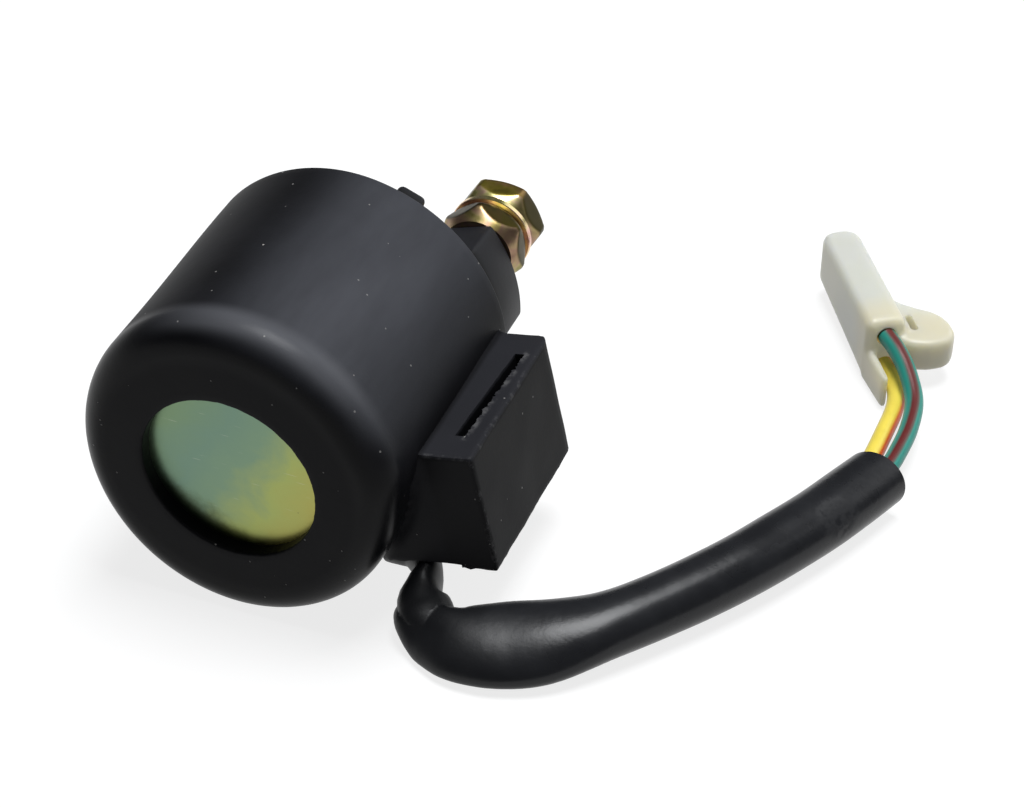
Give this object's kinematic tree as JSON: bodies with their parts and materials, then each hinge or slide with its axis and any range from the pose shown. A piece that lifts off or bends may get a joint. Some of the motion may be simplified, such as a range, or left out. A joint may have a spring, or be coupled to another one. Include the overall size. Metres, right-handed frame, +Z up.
{
  "type": "starter relay",
  "caption": "Round starter relay in a black rubber boot with a slotted mounting lug, screw terminals on a moulded rear cap, and a sleeved lead that ends in a small plug",
  "frame": {"origin": "On the table under the middle of the relay's own box (the cord and its plug left out), with the relay lying on its side and resting on z = 0", "axes": "+Z up; +Y along the relay's axis, from the window in the boot towards the screw terminals; +X towards the side with the mounting lug"},
  "size_m": [0.0973, 0.1023, 0.044],
  "materials": {
    "rubber_boot": "matt moulded rubber",
    "relay_can": "yellow zinc plated steel",
    "backstop_pad": "fibre",
    "coil_bobbin": "moulded nylon",
    "coil_winding": "enamelled copper wire",
    "guide_tube": "drawn brass",
    "pole_plate": "bright steel",
    "plunger": "turned steel",
    "push_rod": "turned steel",
    "rod_collar": "turned steel",
    "return_spring": "spring wire",
    "contact_spring": "spring wire",
    "insulator_bush": "phenolic",
    "contact_disc": "bare copper",
    "insulator_washer": "phenolic",
    "rod_clip": "spring steel",
    "terminal_cap": "moulded phenolic",
    "cap_seal": "moulded rubber",
    "stud_right": "yellow zinc plated steel",
    "stud_left": "yellow zinc plated steel",
    "lower_nut_right": "yellow zinc plated steel",
    "lower_nut_left": "yellow zinc plated steel",
    "lock_washer_right": "yellow zinc plated steel",
    "lock_washer_left": "yellow zinc plated steel",
    "upper_nut_right": "yellow zinc plated steel",
    "upper_nut_left": "yellow zinc plated steel",
    "lead_grommet": "moulded rubber",
    "lead_sleeve": "glossy soft PVC",
    "wire_yellow": "PVC insulation with a red stripe",
    "wire_green": "PVC insulation with a dark red stripe",
    "connector_housing": "natural nylon, slightly translucent",
    "connector_pin_upper": "pressed brass",
    "connector_pin_lower": "pressed brass"
  },
  "bodies": {
    "relay": {"rubber_boot": "rubber_boot", "relay_can": "relay_can", "backstop_pad": "backstop_pad", "coil_bobbin": "coil_bobbin", "coil_winding": "coil_winding", "guide_tube": "guide_tube", "pole_plate": "pole_plate", "return_spring": "return_spring", "contact_spring": "contact_spring", "terminal_cap": "terminal_cap", "cap_seal": "cap_seal", "stud_right": "stud_right", "stud_left": "stud_left", "lower_nut_right": "lower_nut_right", "lower_nut_left": "lower_nut_left", "lock_washer_right": "lock_washer_right", "lock_washer_left": "lock_washer_left", "upper_nut_right": "upper_nut_right", "upper_nut_left": "upper_nut_left", "lead_grommet": "lead_grommet", "lead_sleeve": "lead_sleeve", "wire_yellow": "wire_yellow", "wire_green": "wire_green", "connector_housing": "connector_housing", "connector_pin_upper": "connector_pin_upper", "connector_pin_lower": "connector_pin_lower"},
    "contact": {"insulator_bush": "insulator_bush", "contact_disc": "contact_disc", "insulator_washer": "insulator_washer"},
    "armature": {"plunger": "plunger", "push_rod": "push_rod", "rod_collar": "rod_collar", "rod_clip": "rod_clip"}
  },
  "joints": [
    {"name": "contact_slide", "type": "slide", "parent": "relay", "child": "contact", "axis": [0, 1, 0], "range_m": [0, 0.00215], "stiffness_N_per_m": 500, "springref_m": -0.004, "deforming": ["return_spring"]},
    {"name": "over_travel", "type": "slide", "parent": "contact", "child": "armature", "axis": [0, 1, 0], "range_m": [0, 0.0008], "stiffness_N_per_m": 1500, "springref_m": -0.002, "deforming": ["contact_spring"]}
  ]
}
